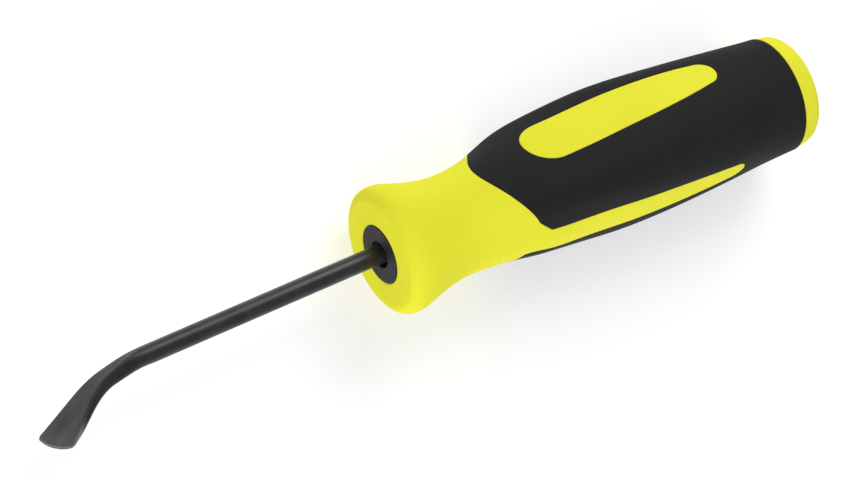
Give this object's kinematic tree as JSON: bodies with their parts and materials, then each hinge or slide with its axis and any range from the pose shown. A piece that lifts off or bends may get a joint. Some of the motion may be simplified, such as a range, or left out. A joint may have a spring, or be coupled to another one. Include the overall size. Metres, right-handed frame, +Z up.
{
  "type": "seal removal tool",
  "caption": "Hand tool for lifting out seals: a bent rod forged into a thin fan blade, in a three-lobed two-tone handle with a soft grip.",
  "frame": {"origin": "middle of the tool's box on the surface that it lies on", "axes": "+X along the tool from the blade to the butt, +Z up with a striped side of the handle down, and the blade bends towards -Y"},
  "size_m": [0.2167, 0.036, 0.0348],
  "materials": {
    "steel": "dark oxide, satin, worn bright at the blade's edge",
    "core_plastic": "satin black",
    "yellow_plastic": "satin bright yellow",
    "soft_grip": "smooth matt black"
  },
  "bodies": {
    "root": {"shank": "steel", "core": "core_plastic", "body": "yellow_plastic", "grip": "soft_grip"}
  },
  "joints": []
}
